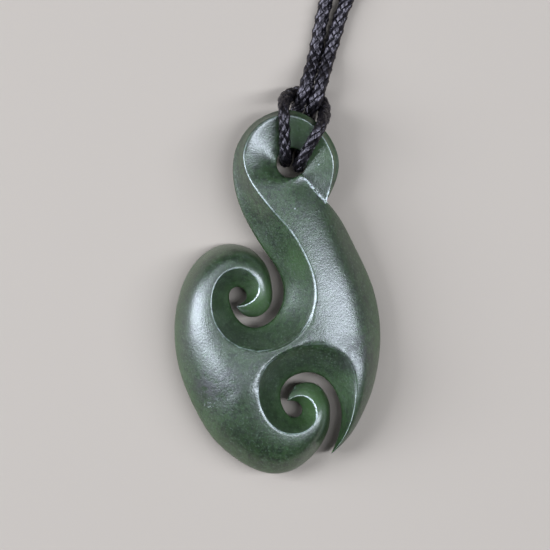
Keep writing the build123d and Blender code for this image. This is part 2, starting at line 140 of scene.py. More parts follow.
class Recipe:
    """A material under construction, with the few nodes that the finishes share."""

    def __init__(self, name: str) -> None:
        """Start an empty material.

        Args:
            name: The material's name.
        """
        self.material = bpy.data.materials.new(name)
        self.material.use_nodes = True
        self.tree = self.material.node_tree
        self.tree.nodes.clear()

    def node(
        self,
        kind: str,
        settings: Mapping[str, Any] = {},
        sockets: Mapping[Union[str, int], Input] = {},
        output: Union[str, int] = 0,
    ) -> Strength:
        """Add any node.

        Args:
            kind: The node's type.
            settings: Its properties, set before its sockets.
            sockets: Values or links by input name or number.
            output: The output to return.

        Returns:
            The chosen output.
        """
        return Strength(self, self._add(kind, settings, sockets).outputs[output])

    def _add(
        self, kind: str, settings: Mapping[str, Any], sockets: Mapping[Union[str, int], Input]
    ) -> bpy.types.Node:
        """Add a node, set it and link it.

        Args:
            kind: The node's type.
            settings: Its properties.
            sockets: Values or links by input name or number.

        Returns:
            The node.
        """
        made = self.tree.nodes.new(kind)
        for name, value in settings.items():
            setattr(made, name, value)
        for name, value in sockets.items():
            if isinstance(value, Strength):
                self.tree.links.new(value.socket, made.inputs[name])
            else:
                made.inputs[name].default_value = value
        return made

    def place(self) -> Strength:
        """Place on the object, in metres."""
        return self.node("ShaderNodeTexCoord", output="Object")

    def unwrapped(self) -> Strength:
        """Place on the piece's UV map."""
        return self.node("ShaderNodeTexCoord", output="UV")

    def attribute(self, name: str) -> Strength:
        """A number kept on the mesh, by name."""
        return self.node("ShaderNodeAttribute", {"attribute_name": name}, output="Fac")

    def stretched(
        self, where: Strength, scale: Sequence[float], turn: Sequence[float] = (0, 0, 0)
    ) -> Strength:
        """Coordinates of a pattern that is stretched and then turned.

        Args:
            where: The coordinates.
            scale: How much longer the pattern is along each axis.
            turn: Angle of the stretched pattern about each axis, in radians.

        Returns:
            The pattern's own coordinates.
        """
        sockets = {"Vector": where, "Scale": scale, "Rotation": turn}
        return self.node("ShaderNodeMapping", {"vector_type": "TEXTURE"}, sockets)

    def noise(self, where: Strength, grain: Grain) -> Strength:
        """Cloudy noise from 0 to 1.

        Args:
            where: The coordinates, in the unit of the pattern's size.
            grain: The pattern.

        Returns:
            The noise.
        """
        layers = {"Detail": grain.detail, "Roughness": grain.rough, "Distortion": grain.bent}
        return self.node("ShaderNodeTexNoise", {}, {"Vector": where, "Scale": 1 / grain.size, **layers})

    def mask(self, where: Strength, grain: Grain) -> Strength:
        """Step of a cloudy noise between the pattern's two levels.

        Args:
            where: The coordinates, in the unit of the pattern's size.
            grain: The pattern.

        Returns:
            The mask, from 0 to the pattern's strength.
        """
        step = self.rising(self.noise(where, grain), grain.low, grain.high)
        return step if grain.strength == 1 else step * grain.strength

    def near(self, where: Strength, spot: Place, reach: float) -> Strength:
        """Falls from 1 at a spot to 0 at its reach.

        Args:
            where: Place on the object.
            spot: The spot, in metres.
            reach: How far it goes.

        Returns:
            The nearness.
        """
        sockets = {0: where, 1: spot}
        gap = self.node("ShaderNodeVectorMath", {"operation": "DISTANCE"}, sockets, output="Value")
        return self.rising(gap, reach, 0.0)

    def rising(self, value: Strength, low: float, high: float) -> Strength:
        """Smooth step from 0 at low to 1 at high; low may be the larger one.

        Args:
            value: What is compared.
            low: Where the result is 0.
            high: Where the result is 1.

        Returns:
            The step.
        """
        ends = {"From Min": low, "From Max": high}
        if low > high:
            ends = {"From Min": high, "From Max": low, "To Min": 1.0, "To Max": 0.0}
        settings = {"interpolation_type": "SMOOTHSTEP"}
        return self.node("ShaderNodeMapRange", settings, {"Value": value, **ends})

    def blend(self, share: Input, first: Input, second: Input) -> Strength:
        """Colour between two.

        Args:
            share: 0 for the first colour, 1 for the second.
            first: A colour or a link.
            second: A colour or a link.

        Returns:
            The mixed colour.
        """
        colours = [(*c, 1.0) if isinstance(c, tuple) else c for c in (first, second)]
        # The Mix node keeps its colours in inputs 6 and 7 and output 2
        sockets = {0: share, 6: colours[0], 7: colours[1]}
        return self.node("ShaderNodeMix", {"data_type": "RGBA"}, sockets, output=2)

    def bump(self, height: Strength, depth: float) -> Strength:
        """Normal tilted by a height from 0 to 1, where 1 stands for a depth in metres."""
        return self.node("ShaderNodeBump", {}, {"Height": height, "Distance": depth})

    def surface(self, constants: Mapping[str, Input], **links: Strength) -> bpy.types.Material:
        """Close the material with one Principled shader.

        Args:
            constants: Socket values that are the same all over.
            links: What varies: base_color, roughness, normal.

        Returns:
            The finished material.
        """
        names = {"base_color": "Base Color", "roughness": "Roughness", "normal": "Normal"}
        sockets = {**constants, **{names[key]: link for key, link in links.items()}}
        shader = self.node("ShaderNodeBsdfPrincipled", {}, sockets)
        self._add("ShaderNodeOutputMaterial", {}, {"Surface": shader})
        return self.material


# Finishes


@dataclass(frozen=True)
class Patch:
    """A cloud in the stone, strongest at its middle."""

    spot: Place
    reach: float
    strength: float


@dataclass(frozen=True)
class GreenstoneFinish:
    """Dark green nephrite with a satin polish, a painted glow where light would get through the thin
    stone, and pale ridge lines that paint wear and highlight together.
    """

    body: Colour = (0.014, 0.029, 0.009)
    pale: Colour = (0.026, 0.051, 0.018)
    deep: Colour = (0.006, 0.013, 0.005)
    # Painted glow: brighter green standing in for light that comes through thin stone
    painted_glow_colour: Colour = (0.042, 0.092, 0.023)
    milk: Colour = (0.068, 0.104, 0.066)
    soot: Colour = (0.016, 0.016, 0.017)
    # Pale ridge line: partly wear, partly a painted highlight where ridges catch the light
    worn_and_lit: Colour = (0.27, 0.32, 0.31)
    flake: Colour = (0.60, 0.66, 0.66)
    clouds: Grain = Grain(6.0 * MM, 5, 0.55, 0.38, 0.66, bent=0.6)
    mottles: Grain = Grain(0.85 * MM, 4, 0.7, 0.55, 0.37, 0.8)
    flecks: Grain = Grain(0.34 * MM, 3, 0.7, 0.50, 0.76, 0.9)
    smudges: Grain = Grain(1.1 * MM, 5, 0.7, 0.36, 0.56)
    patchy_wear_and_glint: Grain = Grain(0.9 * MM, 4, 0.7, 0.36, 0.60, 0.75)
    chips: Grain = Grain(0.45 * MM, 3, 0.7, 0.42, 0.53)
    slivers: Grain = Grain(0.34 * MM, 3, 0.75, 0.54, 0.66, 0.85)
    grit: Grain = Grain(0.26 * MM, 2, 0.6)
    pits: Grain = Grain(0.42 * MM, 3, 0.7)
    ripples: Grain = Grain(1.6 * MM, 2, strength=0.8)
    roughness: float = 0.335
    uneven: float = 0.20
    sooty_matt: float = 0.20
    sooty_pits: float = 1.3
    clean_pits: float = 0.15
    relief: float = 0.026 * MM
    worn_and_lit_line: tuple[float, float] = (0.86, 0.99)
    chipped_edge: tuple[float, float] = (0.56, 0.82)
    sliver_stretch: Place = (3.0, 1.0, 1.0)
    crack_turn: float = math.radians(27)
    sooty: tuple[Patch, ...] = (
        Patch((-0.0089, -0.0041, 0.0060), 4.4 * MM, 1.0),
        Patch((-0.0070, -0.0034, 0.0070), 3.8 * MM, 0.9),
        Patch((0.0108, 0.0006, 0.0060), 4.2 * MM, 0.9),
    )
    pitted: tuple[Patch, ...] = (
        Patch((-0.0096, -0.0069, 0.0052), 1.2 * MM, 0.6),
        Patch((-0.0082, -0.0065, 0.0060), 1.2 * MM, 0.8),
        Patch((-0.0066, -0.0056, 0.0068), 1.2 * MM, 0.8),
    )
    # Patches of painted glow, where light would come through the stone
    clear: tuple[Patch, ...] = (
        Patch((-0.0022, 0.0080, 0.0055), 5.0 * MM, 0.8),
        Patch((0.0047, -0.0068, 0.0055), 5.0 * MM, 0.85),
        Patch((0.0085, -0.0050, 0.0060), 4.0 * MM, 0.35),
        Patch((0.0025, 0.0130, 0.0070), 4.5 * MM, 0.6),
        Patch((0.0064, 0.0290, 0.0055), 4.5 * MM, 0.5),
        Patch((0.0030, 0.0325, 0.0050), 4.0 * MM, 0.4),
    )
    specks: tuple[Place, ...] = (
        (0.0025, 0.0210, 0.0079),
        (0.0059, 0.0273, 0.0048),
    )
    speck: float = 0.24 * MM

    def material(self) -> bpy.types.Material:
        """Mix the stone.

        Returns:
            Its material.
        """
        mix = Recipe("greenstone")
        where = mix.place()
        grit = mix.noise(where, self.grit)
        dull = self._cover(mix, where, self.sooty) * mix.mask(where, self.smudges)
        colour = self._body(mix, where, dull)
        # Pale ridge lines of wear and painted highlight
        colour = mix.blend(self._wear_and_glint(mix, where), colour, self.worn_and_lit)
        colour = mix.blend(self._flakes(mix, where), colour, self.flake)
        roughness = grit * self.uneven + (self.roughness - self.uneven / 2) + dull * self.sooty_matt
        pits = mix.noise(where, self.pits) * (dull * self.sooty_pits + self.clean_pits)
        height = grit + pits + mix.noise(where, self.ripples) * self.ripples.strength
        constants = {
            "IOR": 1.61,
            "Specular IOR Level": 0.85,
            "Subsurface Weight": 0.18,
            "Subsurface Radius": (0.45, 1.0, 0.40),
            "Subsurface Scale": 1.2 * MM,
        }
        normal = mix.bump(height, self.relief)
        return mix.surface(constants, base_color=colour, roughness=roughness, normal=normal)

    def _body(self, mix: Recipe, where: Strength, dull: Strength) -> Strength:
        """Colour of the stone, with a painted glow where light would come through.

        Args:
            mix: The material.
            where: Place on the object.
            dull: How sooty each place is.

        Returns:
            The colour.
        """
        colour = mix.blend(mix.mask(where, self.clouds), self.body, self.pale)
        colour = mix.blend(mix.mask(where, self.mottles), colour, self.deep)
        # Painted glow of light through the stone: at thin low parts and in the listed patches
        clear = mix.attribute("glow_from_thinness").most(self._cover(mix, where, self.clear))
        colour = mix.blend(clear, colour, self.painted_glow_colour)
        colour = mix.blend(mix.mask(where, self.flecks), colour, self.milk)
        return mix.blend(dull, colour, self.soot)

    def _wear_and_glint(self, mix: Recipe, where: Strength) -> Strength:
        """Pale line along each ridge, partly wear and partly a painted highlight.

        Args:
            mix: The material.
            where: Place on the object.

        Returns:
            How much of the pale line, wear and painted highlight, each place gets.
        """
        line = mix.rising(mix.attribute("ridge"), *self.worn_and_lit_line) * mix.attribute("wear_and_glint")
        return line * (mix.mask(where, self.patchy_wear_and_glint) + (1 - self.patchy_wear_and_glint.strength))

    def _flakes(self, mix: Recipe, where: Strength) -> Strength:
        """White flakes at chipped ridges, slivers along a crack and lone specks.

        Args:
            mix: The material.
            where: Place on the object.

        Returns:
            How flaked each place is.
        """
        chips = mix.mask(where, self.chips) * mix.attribute("chipped")
        chips = chips * mix.rising(mix.attribute("ridge"), *self.chipped_edge)
        drawn = mix.stretched(where, self.sliver_stretch, (0, 0, self.crack_turn))
        flaked = chips.most(mix.mask(drawn, self.slivers) * self._cover(mix, where, self.pitted))
        for spot in self.specks:
            flaked = flaked.most(mix.near(where, spot, self.speck))
        return flaked

    @staticmethod
    def _cover(mix: Recipe, where: Strength, patches: Sequence[Patch]) -> Strength:
        """How much of a place is in the nearest of the patches.

        Args:
            mix: The material.
            where: Place on the object.
            patches: The patches.

        Returns:
            Their cover, from 0 to 1.
        """
        covers = [mix.near(where, patch.spot, patch.reach) * patch.strength for patch in patches]
        most = covers[0]
        for cover in covers[1:]:
            most = most.most(cover)
        return most


@dataclass(frozen=True)
class WaxedBraidFinish:
    """Black waxed fibre, whose yarns and filaments run along each carrier."""

    fibre: Colour = (0.0016, 0.0014, 0.0018)
    bloom: Colour = (0.0060, 0.0050, 0.0072)
    tint: Colour = (1.0, 0.90, 1.0)
    filaments: Grain = Grain(1.0, 3, 0.65, strength=0.6)
    filament_stretch: Place = (0.036, 1.1, 1.0)
    wax: Grain = Grain(0.9 * MM, 3, 0.6, 0.45, 0.75)
    yarns: int = 3
    yarn_relief: float = 0.25
    relief: float = 0.07 * MM
    roughness: float = 0.32
    uneven: float = 0.22

    def material(self) -> bpy.types.Material:
        """Mix the fibre.

        Returns:
            Its material.
        """
        mix = Recipe("waxed_cord")
        along = mix.unwrapped()
        filaments = mix.noise(mix.stretched(along, self.filament_stretch), self.filaments)
        across = mix.node("ShaderNodeSeparateXYZ", {}, {0: along}, output="X")
        yarns = across.maths("SINE", across * (4 * math.pi * self.yarns))
        colour = mix.blend(mix.mask(mix.place(), self.wax), self.fibre, self.bloom)
        roughness = filaments * self.uneven + (self.roughness - self.uneven / 2)
        height = yarns * self.yarn_relief + filaments * self.filaments.strength
        normal = mix.bump(height, self.relief)
        constants = {"IOR": 1.5, "Specular IOR Level": 0.6, "Specular Tint": (*self.tint, 1.0)}
        return mix.surface(constants, base_color=colour, roughness=roughness, normal=normal)


@dataclass(frozen=True)
class PaperFinish:
    """Plain pale studio paper."""

    colour: Colour = (0.35, 0.30, 0.25)
    shade: float = 0.97
    mottle: Grain = Grain(0.4, 2)
    roughness: float = 0.8

    def material(self) -> bpy.types.Material:
        """Mix the paper.

        Returns:
            Its material.
        """
        mix = Recipe("studio_paper")
        darker = tuple(self.shade * part for part in self.colour)
        colour = mix.blend(mix.noise(mix.place(), self.mottle), self.colour, darker)
        return mix.surface({"Roughness": self.roughness}, base_color=colour)


# Mesh tools


def only(piece: bpy.types.Object) -> None:
    """Make a piece the only one selected, and the active one.

    Args:
        piece: The piece.
    """
    bpy.ops.object.select_all(action="DESELECT")
    piece.select_set(True)
    bpy.context.view_layer.objects.active = piece


def link_mesh(name: str, mesh: bpy.types.Mesh) -> bpy.types.Object:
    """Put a mesh in the scene.

    Args:
        name: The piece's name.
        mesh: Its mesh.

    Returns:
        The new object, at the origin.
    """
    piece = bpy.data.objects.new(name, mesh)
    bpy.context.scene.collection.objects.link(piece)
    return piece


def corners_of(mesh: bpy.types.Mesh) -> np.ndarray:
    """Places of a mesh's vertices.

    Args:
        mesh: The mesh.

    Returns:
        One row for each vertex.
    """
    places = np.empty(len(mesh.vertices) * 3)
    mesh.vertices.foreach_get("co", places)
    return places.reshape(-1, 3)


def keep_number(mesh: bpy.types.Mesh, name: str, values: np.ndarray) -> None:
    """Keep a number for each vertex, for a material to read.

    Args:
        mesh: The mesh.
        name: The attribute's name.
        values: One number for each vertex.
    """
    kept = mesh.attributes.new(name, "FLOAT", "POINT")
    kept.data.foreach_set("value", np.asarray(values, np.float32))


def finish_piece(piece: bpy.types.Object, material: bpy.types.Material, node: str) -> None:
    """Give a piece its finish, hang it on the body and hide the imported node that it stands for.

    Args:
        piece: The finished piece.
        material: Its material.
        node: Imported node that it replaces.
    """
    piece.data.materials.clear()
    piece.data.materials.append(material)
    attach(piece, BODY)
    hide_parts(node)
    triangles = sum(len(face.vertices) - 2 for face in piece.data.polygons)
    log.info("%s: %d triangles", piece.name, triangles)


# The carved stone


def gap_on_plan(place: Vector, x: float, y: float) -> float:
    """Distance of a place from a point, seen from above."""
    return math.hypot(place.x - x, place.y - y)


@dataclass(frozen=True)
class Stretch:
    """A part of the carved face round a point of the plan, whose effect fades out at its reach."""

    x: float
    y: float
    reach: float
    strength: float = 1.0

    def share(self, place: Vector) -> float:
        """How much of the effect there is at a place."""
        return self.strength * min(max(2 - 2 * gap_on_plan(place, self.x, self.y) / self.reach, 0), 1)


@dataclass(frozen=True)
class Swell:
    """A bell-shaped rise, or a dent if its height is negative, of the face between two levels."""

    x: float
    y: float
    reach: float
    height: float
    lowest: float = 2.5 * MM
    highest: float = 9.0 * MM

    def lift(self, place: Vector) -> float:
        """How far a place rises. The slope is steepest at the reach.

        Args:
            place: A corner of the face.

        Returns:
            Its rise in metres.
        """
        if not self.lowest < place.z < self.highest:
            return 0.0
        return self.height * math.exp(-((gap_on_plan(place, self.x, self.y) / self.reach) ** 2) / 2)


@dataclass
class CarvedStone:
    """The pendant, smoothed from its packed facets, with its ridges kept crisp.

    A tilt is how far a face looks up: 1 for a level one, 0 for a wall and -1 for the back.
    """

    node: str = "pendant"
    weld: float = 0.002 * MM
    quad_angle: float = math.radians(35)
    quad_skew: float = math.radians(75)
    levels: int = 2
    flat_height: float = 0.01 * MM
    flat_tilt: float = -0.999
    border_ring: float = 0.3 * MM
    soft_angle: float = math.radians(24)
    crisp_angle: float = math.radians(44)
    crease: float = 0.55
    rub: float = 0.85
    face_tilt: float = 0.3
    border_tilt: float = 0.2
    wall_tilt: float = 0.1
    step_top: Place = (0.0040, 0.0249, 0.0)
    step_foot: Place = (0.0066, 0.0225, 0.0)
    step_reach: float = 0.65 * MM
    # Pale line of wear and painted highlight on the step's top edge
    step_wear_and_glint: float = 0.7
    spread_times: int = 2
    polished: tuple[Stretch, ...] = (
        Stretch(-0.0030, 0.0322, 0.0040),
        Stretch(0.0008, 0.0247, 0.0028),
        Stretch(0.0011, 0.0191, 0.0026, 0.6),
        Stretch(0.0040, 0.0045, 0.0022),
        Stretch(0.0015, 0.0022, 0.0026),
        Stretch(-0.0024, 0.0008, 0.0026),
        Stretch(-0.0058, 0.0019, 0.0022, 0.7),
        Stretch(-0.0022, -0.0026, 0.0026),
        Stretch(0.0004, 0.0010, 0.0028),
        Stretch(0.0045, 0.0016, 0.0030),
        Stretch(0.0085, 0.0005, 0.0032),
        Stretch(0.0110, -0.0030, 0.0034),
    )
    # Where a ridge keeps its crease but gets no pale line of wear and painted highlight
    unlined: Stretch = Stretch(0.0077, 0.0241, 0.0036)
    flaked: tuple[Stretch, ...] = (
        Stretch(-0.0036, 0.0084, 0.0022),
        Stretch(0.0052, -0.0068, 0.0020),
    )
    swells: tuple[Swell, ...] = (
        Swell(-0.0073, -0.0036, 2.7 * MM, 0.8 * MM),
        Swell(0.0009, 0.0096, 1.6 * MM, -0.35 * MM),
        Swell(-0.0022, 0.0262, 1.6 * MM, -0.35 * MM),
        Swell(0.0035, 0.0254, 1.2 * MM, -0.4 * MM, lowest=5.4 * MM),
        Swell(0.0038, 0.0262, 2.1 * MM, 0.6 * MM, highest=5.4 * MM),
    )
    joined: Stretch = Stretch(0.0013, 0.0246, 0.0031)
    joined_share: float = 0.5
    joined_rim: float = 0.3
    joined_times: int = 12
    relax: float = 0.5
    relax_times: int = 4
    # Painted glow of light through the stone, strongest low down
    glow_height: float = 5.0 * MM
    glow_fade: float = 2.2 * MM
    glow_share: float = 0.45
    finish: GreenstoneFinish = field(default_factory=GreenstoneFinish)

    def build(self) -> bpy.types.Object:
        """Model and dress the stone.

        Returns:
            The finished piece.
        """
        piece = link_mesh("carved_greenstone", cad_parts[self.node].data.copy())
        self._weld(piece)
        self._relax(piece)
        self._crease(piece)
        self._mark_ridges(piece)
        self._smooth(piece)
        self._keep_painted_glow(piece)
        finish_piece(piece, self.finish.material(), self.node)
        return piece

    def _weld(self, piece: bpy.types.Object) -> None:
        """Join the loose triangles into quads and ring the flat back.

        Args:
            piece: The stone.
        """
        only(piece)
        bpy.ops.object.mode_set(mode="EDIT")
        bpy.ops.mesh.select_mode(type="FACE")
        bpy.ops.mesh.select_all(action="SELECT")
        bpy.ops.mesh.remove_doubles(threshold=self.weld)
        bpy.ops.mesh.tris_convert_to_quads(
            face_threshold=self.quad_angle, shape_threshold=self.quad_skew, topology_influence=1.0
        )
        bpy.ops.mesh.select_all(action="DESELECT")
        shape = bmesh.from_edit_mesh(piece.data)
        for face in shape.faces:
            face.select_set(self._is_flat_back(face))
        bmesh.update_edit_mesh(piece.data)
        bpy.ops.mesh.inset(thickness=self.border_ring, use_even_offset=True)
        bpy.ops.mesh.select_all(action="DESELECT")
        bpy.ops.object.mode_set(mode="OBJECT")

    def _is_flat_back(self, face: bmesh.types.BMFace) -> bool:
        """Whether a face lies on the surface under the stone."""
        top = max(corner.co.z for corner in face.verts)
        return face.normal.z < self.flat_tilt and top < self.flat_height

    def _relax(self, piece: bpy.types.Object) -> None:
        """Smooth the rounded faces, then where the stem meets the hole, and raise the swells.

        Args:
            piece: The stone.
        """
        bpy.ops.object.mode_set(mode="EDIT")
        bpy.ops.mesh.select_mode(type="VERT")
        rounds = ((self._is_rounded, self.relax_times), (self._is_joined, self.joined_times))
        for is_chosen, times in rounds:
            shape = bmesh.from_edit_mesh(piece.data)
            for corner in shape.verts:
                corner.select_set(is_chosen(corner))
            bmesh.update_edit_mesh(piece.data)
            bpy.ops.mesh.vertices_smooth(factor=self.relax, repeat=times)
        bpy.ops.mesh.select_all(action="DESELECT")
        bpy.ops.object.mode_set(mode="OBJECT")
        for corner in piece.data.vertices:
            corner.co.z += sum(swell.lift(corner.co) for swell in self.swells)

    def _is_rounded(self, corner: bmesh.types.BMVert) -> bool:
        """Whether a corner lies on a rounded face, away from the ridges and from the flat back.

        Args:
            corner: A corner of the stone.

        Returns:
            True for such a corner.
        """
        if any(self._is_flat_back(face) for face in corner.link_faces):
            return False
        return max(edge.calc_face_angle(math.pi) for edge in corner.link_edges) < self.soft_angle

    def _is_joined(self, corner: bmesh.types.BMVert) -> bool:
        """Whether a corner lies where the stem meets the hole, but not on a wall or on the back."""
        steepest = min(face.normal.z for face in corner.link_faces)
        return self.joined.share(corner.co) > self.joined_share and steepest >= self.border_tilt

    def _rubbed(self, place: Vector) -> float:
        """How round the ridges are at a place, from 0 to 1."""
        return max(stretch.share(place) for stretch in self.polished)

    def _sharpness(self, angle: float) -> float:
        """How far an edge's angle is on the way from soft to crisp, from 0 to 1."""
        return min(max((angle - self.soft_angle) / (self.crisp_angle - self.soft_angle), 0.0), 1.0)

    def _crease(self, piece: bpy.types.Object) -> None:
        """Crease the ridges by how sharply their two sides meet, and the inner ring of the flat back.

        Args:
            piece: The stone.
        """
        shape = bmesh.new()
        shape.from_mesh(piece.data)
        crease = shape.edges.layers.float.new("crease_edge")
        for edge in shape.edges:
            if len(edge.link_faces) != 2:
                continue
            middle = (edge.verts[0].co + edge.verts[1].co) / 2
            crisp = 1 - self.rub * self._rubbed(middle)
            edge[crease] = self.crease * crisp * self._sharpness(edge.calc_face_angle())
            is_flat = all(self._is_flat_back(face) for face in edge.link_faces)
            if is_flat and any(len(face.verts) == 3 for face in edge.link_faces):
                edge[crease] = 1.0
        shape.to_mesh(piece.data)
        shape.free()

    def _smooth(self, piece: bpy.types.Object) -> None:
        """Subdivide the stone and shade it smooth.

        Args:
            piece: The stone.
        """
        only(piece)
        rounding = piece.modifiers.new("rounding", "SUBSURF")
        rounding.levels = rounding.render_levels = self.levels
        bpy.ops.object.modifier_apply(modifier=rounding.name)
        bpy.ops.object.shade_smooth()

    def _mark_ridges(self, piece: bpy.types.Object) -> None:
        """Keep which corners lie on a ridge, how much pale line of wear and painted highlight it gets
        there, and where it is chipped.

        Args:
            piece: The stone.
        """
        shape = bmesh.new()
        shape.from_mesh(piece.data)
        shape.normal_update()
        ridge, wear_and_glint, chipped = (np.zeros(len(shape.verts)) for _ in range(3))
        for edge in shape.edges:
            tilts = [face.normal.z for face in edge.link_faces]
            if len(tilts) != 2 or max(tilts) < self.face_tilt:
                continue
            share = self._sharpness(edge.calc_face_angle_signed(0.0))
            middle = (edge.verts[0].co + edge.verts[1].co) / 2
            on_wall = min(tilts) < self.wall_tilt
            on_step = on_wall and self._is_at_step(middle)
            on_rim = on_wall or self.joined.share(middle) > self.joined_rim
            if share == 0 or (on_rim and not on_step):
                continue
            # Pale line of wear and painted highlight, less where the ridge is polished round
            worn_and_lit = share * (1 - self._rubbed(middle)) * (1 - self.unlined.share(middle))
            flaked = max(stretch.share(middle) for stretch in self.flaked)
            if on_step:
                worn_and_lit, flaked = self.step_wear_and_glint, 1.0
            for corner in edge.verts:
                ridge[corner.index] = 1.0
                wear_and_glint[corner.index] = max(wear_and_glint[corner.index], worn_and_lit)
                chipped[corner.index] = max(chipped[corner.index], flaked)
        shape.free()
        for _ in range(self.spread_times):
            wear_and_glint = self._spread(piece.data, wear_and_glint)
            chipped = self._spread(piece.data, chipped)
        for name, values in (("ridge", ridge), ("wear_and_glint", wear_and_glint), ("chipped", chipped)):
            keep_number(piece.data, name, values)

    def _is_at_step(self, place: Vector) -> bool:
        """Whether a place is at the step between the loop and the stem, seen from above.

        Args:
            place: A place on the stone.

        Returns:
            True within the step's reach.
        """
        along = Vector(self.step_foot) - Vector(self.step_top)
        flat = Vector((place.x, place.y, 0.0)) - Vector(self.step_top)
        share = min(max(flat.dot(along) / along.length_squared, 0.0), 1.0)
        return (flat - share * along).length < self.step_reach

    @staticmethod
    def _spread(mesh: bpy.types.Mesh, values: np.ndarray) -> np.ndarray:
        """Give each corner that has no number the largest of its neighbours'.

        Args:
            mesh: The mesh.
            values: One number for each corner, 0 for none.

        Returns:
            The numbers, spread by one edge.
        """
        sides = np.empty(len(mesh.edges) * 2, int)
        mesh.edges.foreach_get("vertices", sides)
        near, far = sides.reshape(-1, 2).T
        spread = np.zeros(len(values))
        np.maximum.at(spread, near, values[far])
        np.maximum.at(spread, far, values[near])
        return np.where(values > 0, values, spread)

    def _keep_painted_glow(self, piece: bpy.types.Object) -> None:
        """Keep how much painted glow each corner gets, standing in for light through the stone: most at
        the low edges of the flutes.

        Args:
            piece: The stone.
        """
        glow_from_thinness = np.clip((self.glow_height - corners_of(piece.data)[:, 2]) / self.glow_fade, 0, 1)
        keep_number(piece.data, "glow_from_thinness", glow_from_thinness * self.glow_share)


# The neck cord. Its line lies at two heights: on the surface, and over the rim of the stone's loop

ON_SURFACE = 0.00095
OVER_RIM = 0.006722
HOLE_X = 0.002006
HOLE_Y = 0.02756
LOOP_END = 0.0351


def laid(across: float, along: float, lift: float = 0.0) -> Place:
    """Point of the cord: across from the hole, along from the loop's end, above the surface."""
    return (HOLE_X + across, LOOP_END + along, ON_SURFACE + lift)


NECK_CORD: tuple[Place, ...] = (
    laid(0.0710, 0.2466),
    laid(0.0446, 0.2401),
    laid(0.0151, 0.2187),
    laid(-0.0067, 0.1852),
    laid(-0.0160, 0.1449),
    laid(-0.0115, 0.1018),
    laid(-0.0008, 0.0642),
    laid(0.0056, 0.0387),
    laid(0.0069, 0.0264),
    laid(0.0061, 0.0193),
    laid(0.00465, 0.0146),
    laid(0.0039, 0.0109),
    laid(0.00345, 0.0083, 0.00005),
    laid(0.0029, 0.0062, 0.00095),
    laid(0.0024, 0.0045, 0.00195),
    laid(0.0019, 0.0029, 0.00215),
    laid(0.00135, 0.0014, 0.0019),
    laid(0.0007, 0.0002, 0.00095),
    laid(0.00035, -0.0010, 0.00015),
    (HOLE_X - 0.0001, HOLE_Y + 0.0043, ON_SURFACE),
    (HOLE_X - 0.0009, HOLE_Y + 0.0003, ON_SURFACE),
    (HOLE_X - 0.0009, HOLE_Y + 0.0003, OVER_RIM - 0.00165),
    (HOLE_X - 0.0010, LOOP_END - 0.0036, OVER_RIM - 0.0003),
    (HOLE_X - 0.00105, LOOP_END - 0.0007, OVER_RIM + 0.00065),
    (HOLE_X - 0.0011, LOOP_END + 0.0010, OVER_RIM - 0.0013),
    laid(-0.0008, 0.00185, 0.00225),
    laid(0.00005, 0.0024, 0.0004),
    laid(0.0014, 0.00265),
    laid(0.0028, 0.0024),
    laid(0.0038, 0.0019),
    laid(0.0045, 0.0010, 0.0001),
    laid(0.00475, -0.0001, 0.00115),
    laid(0.00465, -0.0009, 0.00295),
    (HOLE_X + 0.0044, LOOP_END - 0.0019, OVER_RIM - 0.00065),
    (HOLE_X + 0.0037, LOOP_END - 0.0033, OVER_RIM + 0.00025),
    (HOLE_X + 0.0027, HOLE_Y + 0.0026, OVER_RIM - 0.0004),
    (HOLE_X + 0.0010, HOLE_Y - 0.0005, OVER_RIM - 0.00165),
    (HOLE_X + 0.0010, HOLE_Y - 0.0005, ON_SURFACE),
    (HOLE_X + 0.0019, HOLE_Y + 0.0032, ON_SURFACE),
    laid(0.0024, -0.0020, 0.0001),
    laid(0.00265, -0.0004, 0.00105),
    laid(0.00315, 0.0010, 0.00205),
    laid(0.00385, 0.0025, 0.00215),
    laid(0.00435, 0.0042, 0.00195),
    laid(0.00485, 0.0060, 0.00095),
    laid(0.00545, 0.0082, 0.00005),
    laid(0.0063, 0.0109),
    laid(0.0073, 0.0146),
    laid(0.0096, 0.0189),
    laid(0.0133, 0.0243),
    laid(0.0223, 0.0327),
    laid(0.0435, 0.0471),
    laid(0.0761, 0.0677),
    laid(0.1079, 0.0966),
    laid(0.1266, 0.1334),
    laid(0.1309, 0.1744),
    laid(0.1226, 0.2108),
    laid(0.1044, 0.2336),
)


